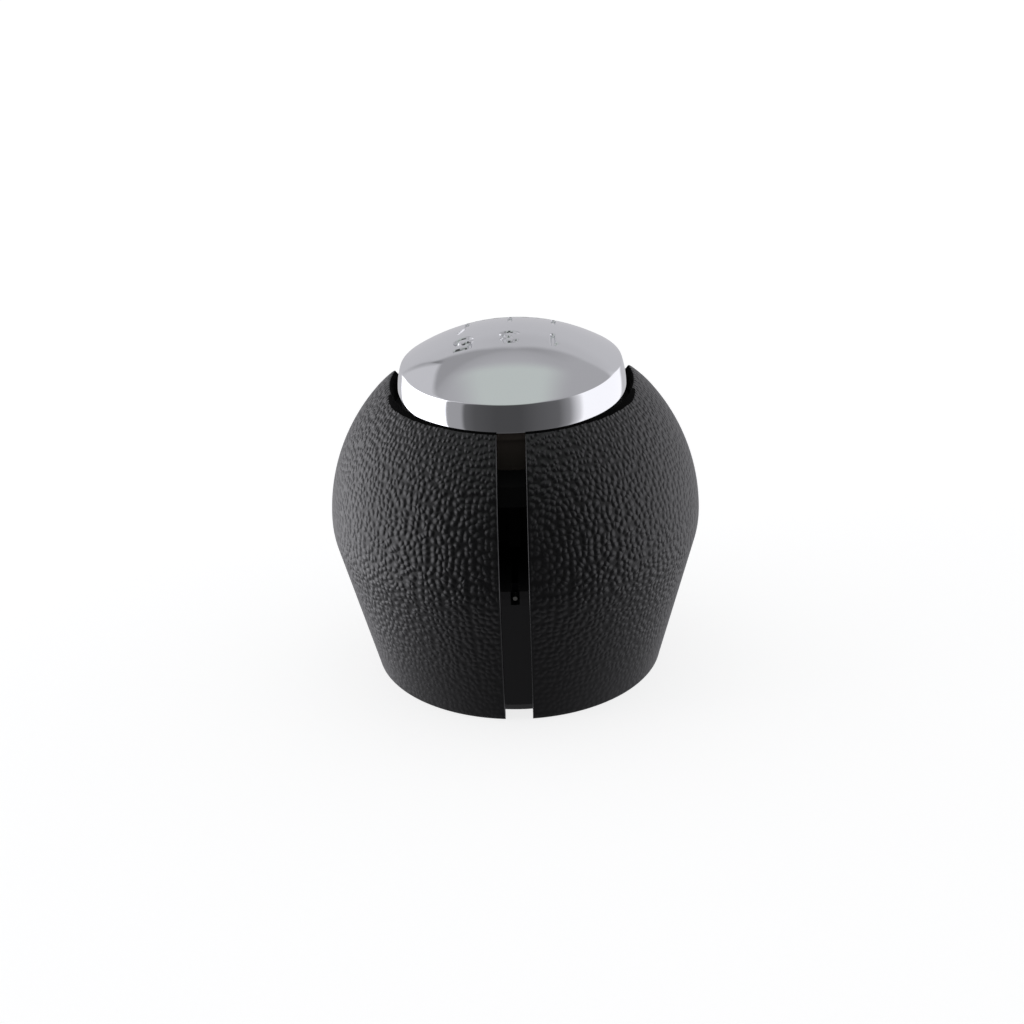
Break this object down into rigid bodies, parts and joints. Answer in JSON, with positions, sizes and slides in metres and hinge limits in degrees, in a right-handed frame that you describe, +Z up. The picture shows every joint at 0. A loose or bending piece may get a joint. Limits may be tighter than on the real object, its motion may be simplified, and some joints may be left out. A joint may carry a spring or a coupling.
{
  "type": "gear shift knob",
  "caption": "Rounded gear shift knob: a slotted, leather-grained grip over a ribbed core with a lever socket, closed by a domed chrome cap.",
  "frame": {"origin": "on the lever's axis, in the plane of the grip's foot", "axes": "+Z up along the lever, -Y towards the slot, +X to the right when the slot is seen from the front"},
  "size_m": [0.052, 0.0519, 0.0499],
  "materials": {
    "soft_grip": "moulded pebble leather grain, satin",
    "black_plastic": "smooth moulded",
    "spring_steel": "bright strip steel",
    "core_plastic": "moulded, as from the tool",
    "bush_plastic": "natural acetal",
    "damper_rubber": "matt",
    "zinc_steel": "zinc plated",
    "satin_chrome": "polished chrome plating, slightly satin"
  },
  "bodies": {
    "root": {"grip_shell": "soft_grip", "gaiter_collar": "black_plastic", "lock_spring": "spring_steel", "core_body": "core_plastic", "lever_bush": "bush_plastic", "damper_pad": "damper_rubber", "clamp_ring": "spring_steel", "deck_screws": "zinc_steel", "cap_carrier": "core_plastic", "chrome_cap": "satin_chrome"}
  },
  "joints": []
}
